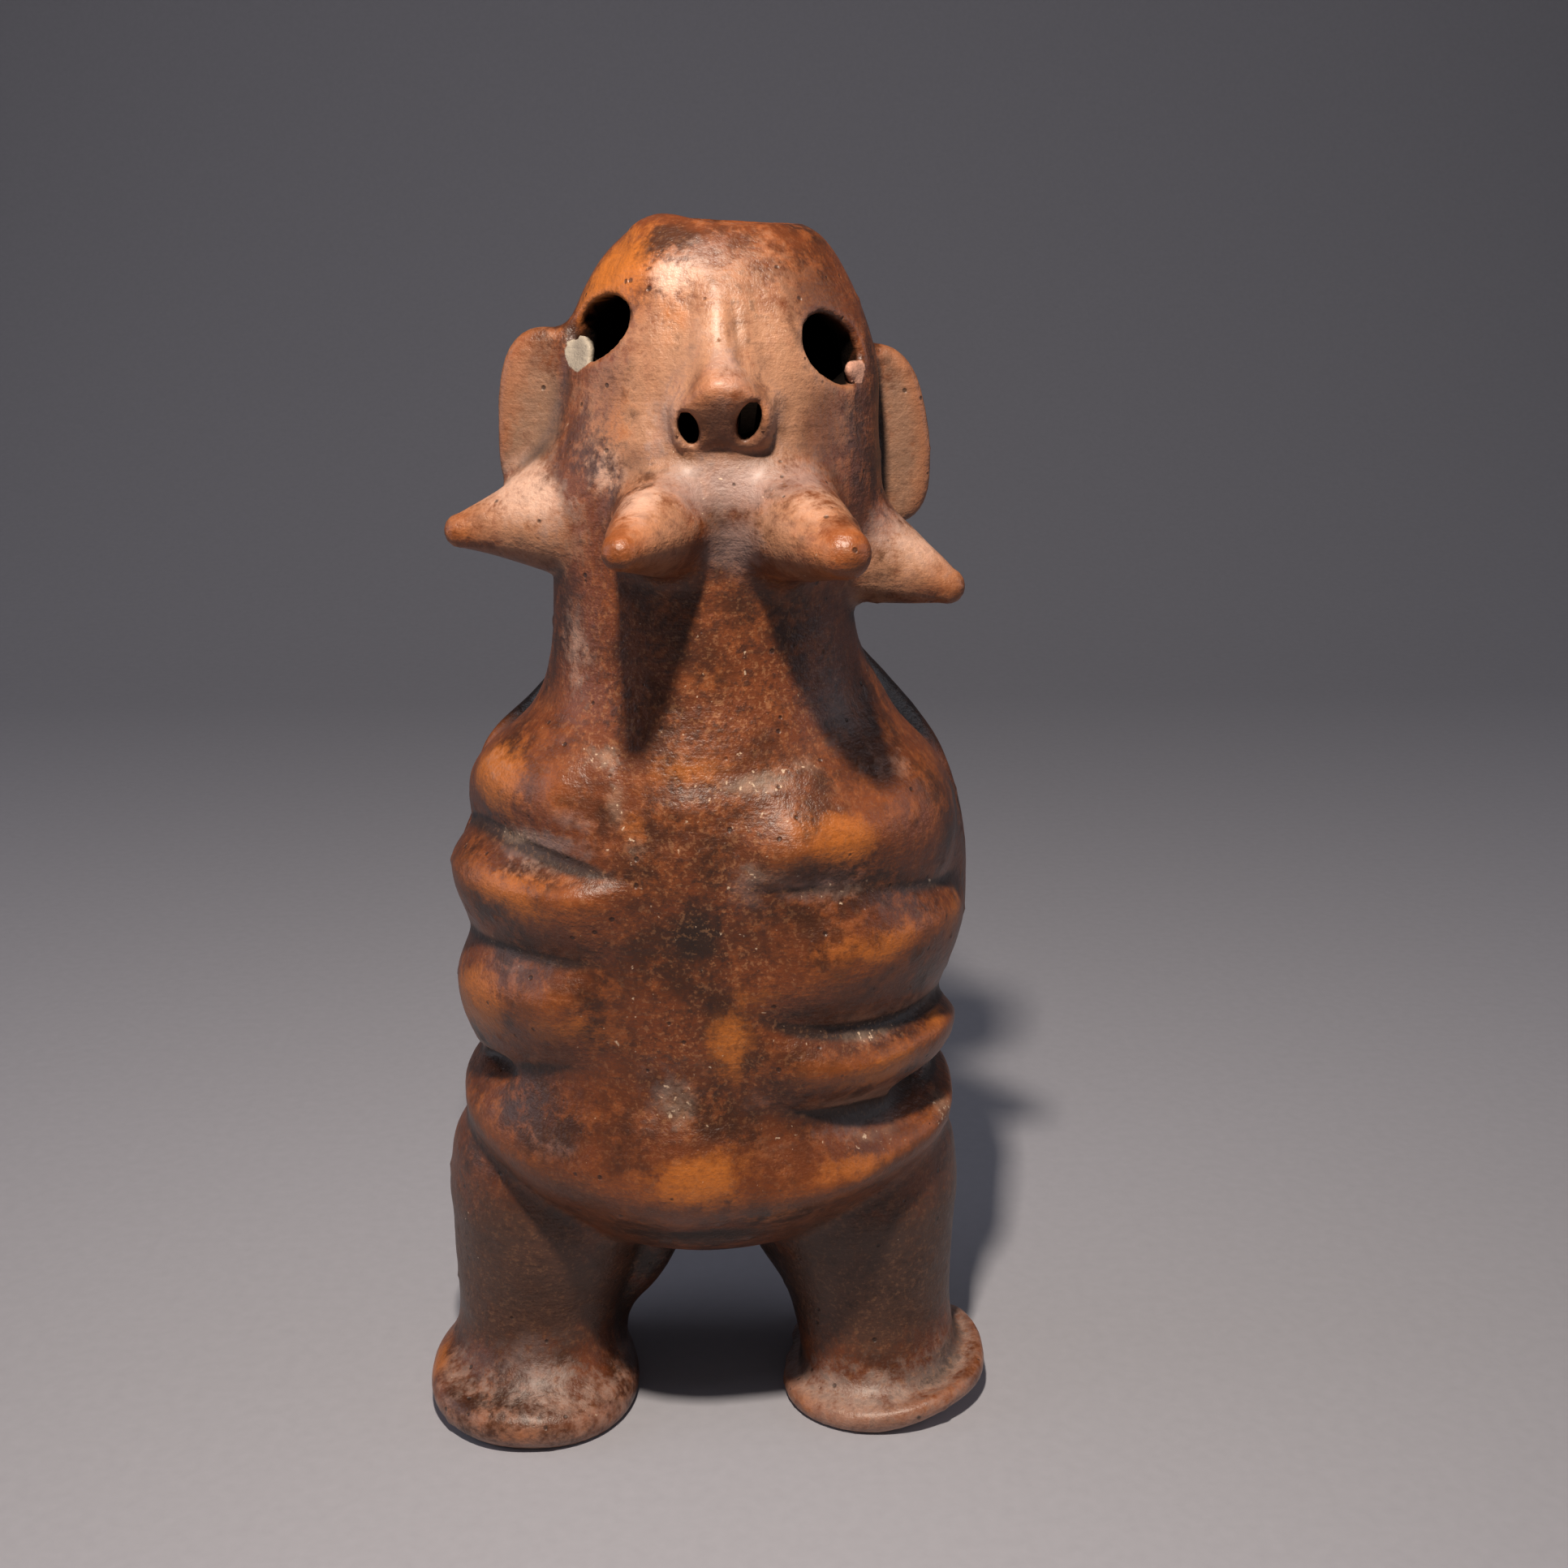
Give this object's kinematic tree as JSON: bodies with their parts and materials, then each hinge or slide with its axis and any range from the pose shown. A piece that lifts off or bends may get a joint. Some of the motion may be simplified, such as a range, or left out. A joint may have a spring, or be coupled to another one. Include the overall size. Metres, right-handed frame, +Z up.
{
  "type": "figurative ceramic vessel",
  "caption": "Hollow clay vessel shaped as an upright beast, open at the crown, with pierced eyes, flap ears, blunt horns round the jaw, folded flanks and flared feet it stands on.",
  "frame": {"origin": "middle of the bounding box, on the ground that the feet stand on", "axes": "+Z up along the body, -Y the way the face looks, +X to the viewer's right"},
  "size_m": [0.1602, 0.1426, 0.3294],
  "materials": {
    "burnished_terracotta": "low-fired red earthenware, slipped and burnished to a soft gloss, with dark mineral stains in the hollows"
  },
  "bodies": {
    "root": {"vessel": "burnished_terracotta"}
  },
  "joints": []
}
